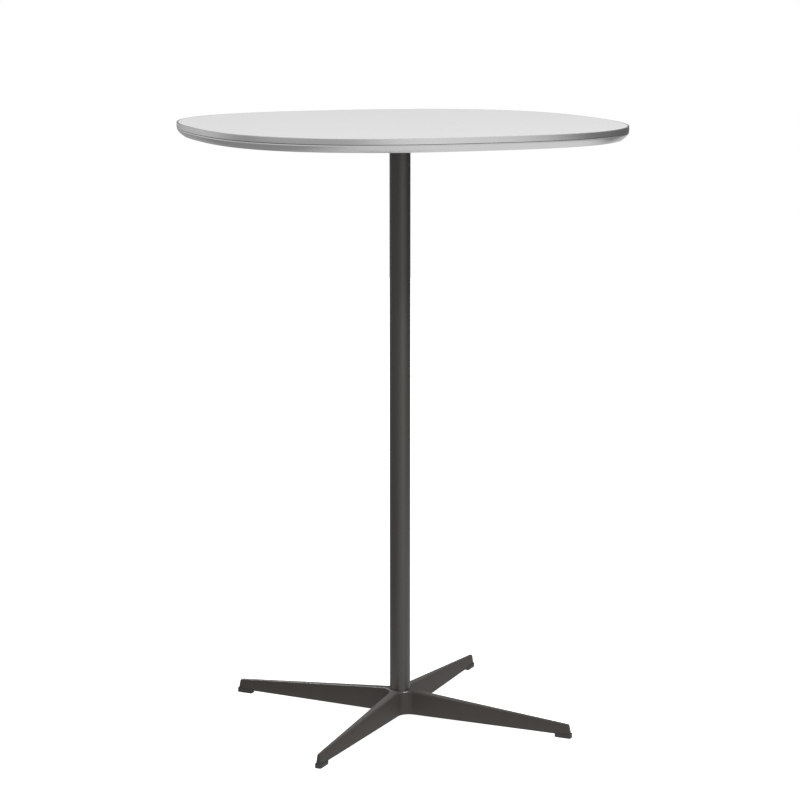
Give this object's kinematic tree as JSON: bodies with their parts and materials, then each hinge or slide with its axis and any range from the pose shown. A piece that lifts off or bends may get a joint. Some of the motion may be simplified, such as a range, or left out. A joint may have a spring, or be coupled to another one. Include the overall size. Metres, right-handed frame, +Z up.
{
  "type": "bistro table",
  "caption": "Bar-height table with a thin rounded-square top in a metal edge, a slim round column and a cast star base on moulded glides.",
  "frame": {"origin": "on the floor, at the centre of the footprint, under the column's axis", "axes": "+Z up along the column; +X and +Y point at the middles of two straighter sides of the top, so the legs lie along the diagonals"},
  "size_m": [0.734, 0.734, 1.05],
  "materials": {
    "board_core": "pressed fibre board",
    "white_laminate": "satin white laminate",
    "backing_laminate": "plain pale backing laminate",
    "edge_metal": "satin polished",
    "coated_casting": "satin dark brown-grey powder coat",
    "coated_tube": "satin dark brown-grey powder coat",
    "plain_steel": "zinc plated",
    "spring_steel": "blackened spring steel",
    "turned_metal": "as turned",
    "insert_brass": "knurled brass",
    "glide_plastic": "moulded dark grey plastic"
  },
  "bodies": {
    "root": {"tabletop_core": "board_core", "top_laminate": "white_laminate", "underside_laminate": "backing_laminate", "edge_profile": "edge_metal", "edge_joint_pins": "plain_steel", "top_bracket": "coated_casting", "threaded_inserts": "insert_brass", "bracket_screws": "plain_steel", "column_tube": "coated_tube", "head_plug": "turned_metal", "foot_plug": "turned_metal", "head_dowel": "plain_steel", "foot_dowel": "plain_steel", "tie_rod": "plain_steel", "head_washer": "plain_steel", "head_nut": "plain_steel", "foot_washer": "plain_steel", "spring_washer": "spring_steel", "foot_nut": "plain_steel", "base_casting": "coated_casting", "glide_screws": "plain_steel", "glide_rear_right": "glide_plastic", "glide_rear_left": "glide_plastic", "glide_front_left": "glide_plastic", "glide_front_right": "glide_plastic"}
  },
  "joints": []
}
